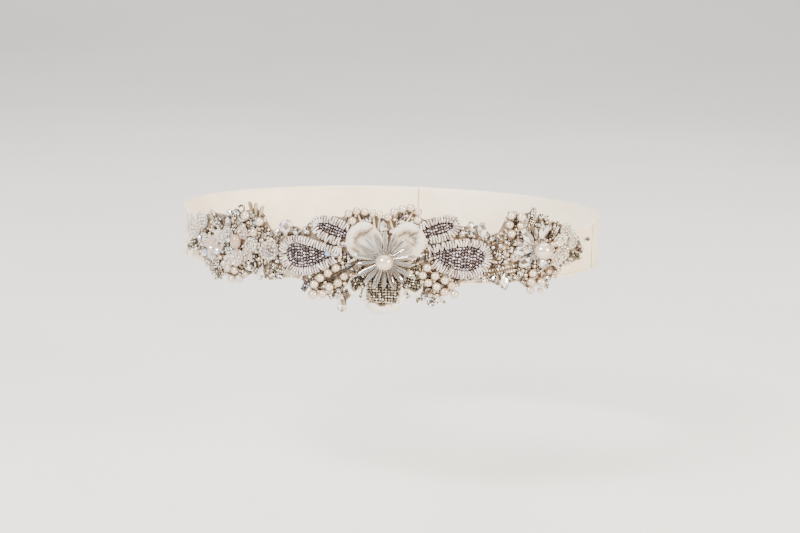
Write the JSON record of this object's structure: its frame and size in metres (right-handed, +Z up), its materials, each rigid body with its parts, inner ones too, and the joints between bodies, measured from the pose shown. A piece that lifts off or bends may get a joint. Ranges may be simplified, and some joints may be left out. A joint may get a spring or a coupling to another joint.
{
  "type": "bridal sash",
  "caption": "Satin ribbon sash worn round the waist, with a beaded flower and leaf motif across the front.",
  "frame": {"origin": "middle of the waist that the sash goes round, at half the height of the front ribbon", "axes": "+Z up along the waist's axis, -Y towards the front with the flower, +X to the picture's right"},
  "size_m": [0.2568, 0.2013, 0.0643],
  "materials": {
    "satin_ribbon": "cream satin with a soft sheen",
    "ground_cloth": "plain ivory cloth",
    "petal_satin": "ivory petal satin",
    "pearl": "ivory pearl",
    "bugle_bead": "pale blush bugle beads",
    "silver_bead": "silver lined seed beads",
    "clear_glass": "clear cut glass",
    "blush_bead": "blush sequins and beads"
  },
  "bodies": {
    "root": {"ribbon_front": "satin_ribbon", "ribbon_back_left": "satin_ribbon", "ribbon_back_right": "satin_ribbon", "ground_centre": "ground_cloth", "ground_left": "ground_cloth", "ground_right": "ground_cloth", "petal_upper_left": "petal_satin", "petal_upper_right": "petal_satin", "petal_bottom": "petal_satin", "petal_small_left": "petal_satin", "petal_small_right": "petal_satin", "pearl_centre": "pearl", "pearl_right": "pearl", "pearls_lower_left_outer": "pearl", "pearls_lower_left_inner": "pearl", "pearls_lower_right_outer": "pearl", "pearls_lower_right_inner": "pearl", "pearls_top_left": "pearl", "pearls_top_middle": "pearl", "pearls_top_right": "pearl", "pearls_upper_left_side": "pearl", "pearls_lower_left_side": "pearl", "beads_left_side": "pearl", "pearls_upper_right_side": "pearl", "pearls_lower_right_side": "pearl", "leaf_lower_right_rim": "bugle_bead", "leaf_upper_right_rim": "bugle_bead", "leaf_lower_left_rim": "bugle_bead", "leaf_upper_left_rim": "bugle_bead", "leaf_lower_right_fill": "silver_bead", "leaf_upper_right_fill": "silver_bead", "leaf_lower_left_fill": "silver_bead", "leaf_upper_left_fill": "silver_bead", "leaf_tip_low_left": "silver_bead", "leaf_upper_left_side": "silver_bead", "leaf_lower_left_side": "silver_bead", "leaf_tip_left_side": "silver_bead", "leaf_upper_right_side": "silver_bead", "leaf_fan_right_side": "silver_bead", "leaf_tip_right_side": "silver_bead", "seed_leaf_right": "silver_bead", "seed_loop_right": "silver_bead", "seed_stem_top": "silver_bead", "burst": "clear_glass", "kite_stone": "clear_glass", "crystals_low_left": "clear_glass", "crystals_low_right": "clear_glass", "crystals_right": "clear_glass", "stones_inner_left": "clear_glass", "stones_low_left": "clear_glass", "stones_low_right": "clear_glass", "stones_upper_left_side": "clear_glass", "discs_left": "clear_glass", "discs_right": "clear_glass", "petals_left_side": "clear_glass", "briolettes_right": "clear_glass", "sequin_flower": "blush_bead", "daggers_left_side": "blush_bead", "blush_bead": "blush_bead"}
  },
  "joints": []
}
